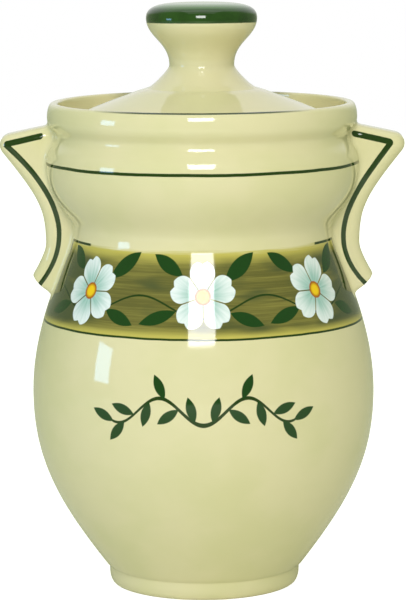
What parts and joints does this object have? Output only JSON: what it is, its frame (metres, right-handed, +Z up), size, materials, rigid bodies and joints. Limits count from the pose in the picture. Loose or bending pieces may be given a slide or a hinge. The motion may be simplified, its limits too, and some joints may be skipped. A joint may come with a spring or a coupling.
{
  "type": "lidded storage crock",
  "caption": "Tall bellied stoneware crock with a drawn-in neck, flared collar, two solid lug handles and an inset lid with a mushroom knob.",
  "frame": {"origin": "centre of the foot ring, on the surface that the pot stands on", "axes": "+Z up along the pot's axis, +X through the right handle, -Y towards the viewer"},
  "size_m": [0.2358, 0.201, 0.3425],
  "materials": {
    "cream_glaze": "gloss",
    "green_glaze": "gloss"
  },
  "bodies": {
    "pot": {"jar": "cream_glaze", "handle_left": "cream_glaze", "handle_right": "cream_glaze"},
    "lid": {"lid": "cream_glaze", "knob": "green_glaze"}
  },
  "joints": [
    {"name": "lid_lift", "type": "slide", "parent": "pot", "child": "lid", "axis": [0, 0, 1], "range_m": [0, 0.2]}
  ]
}
